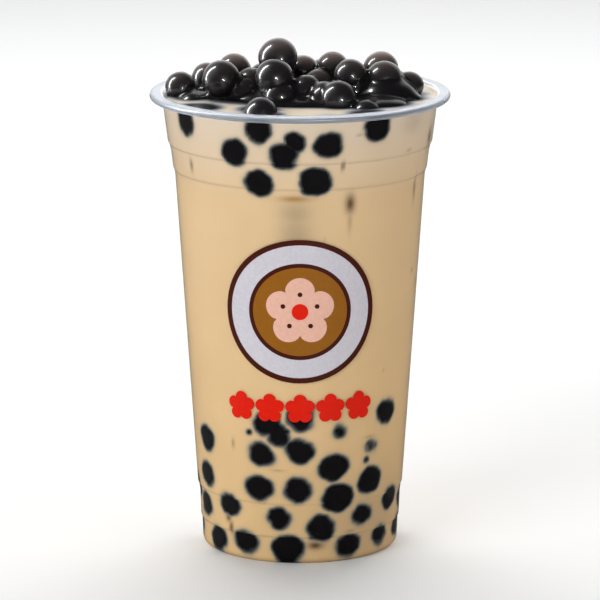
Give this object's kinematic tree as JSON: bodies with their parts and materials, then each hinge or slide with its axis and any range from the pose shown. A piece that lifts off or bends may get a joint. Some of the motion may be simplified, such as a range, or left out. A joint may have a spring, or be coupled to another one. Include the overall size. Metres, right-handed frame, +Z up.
{
  "type": "bubble tea",
  "caption": "Tall tapered clear cup, filled to the rim with milk tea and heaped with glossy dark tapioca pearls.",
  "frame": {"origin": "centre of the cup's foot, on the surface that it stands on", "axes": "+Z up along the cup's axis, -Y towards the side that shows the printed badge, +X to the right as seen from that side"},
  "size_m": [0.095, 0.095, 0.1632],
  "materials": {
    "clear_plastic": "gloss",
    "milk_tea": "gloss",
    "tapioca": "gloss"
  },
  "bodies": {
    "root": {"cup": "clear_plastic", "tea": "milk_tea", "pearl_heap": "tapioca"}
  },
  "joints": []
}
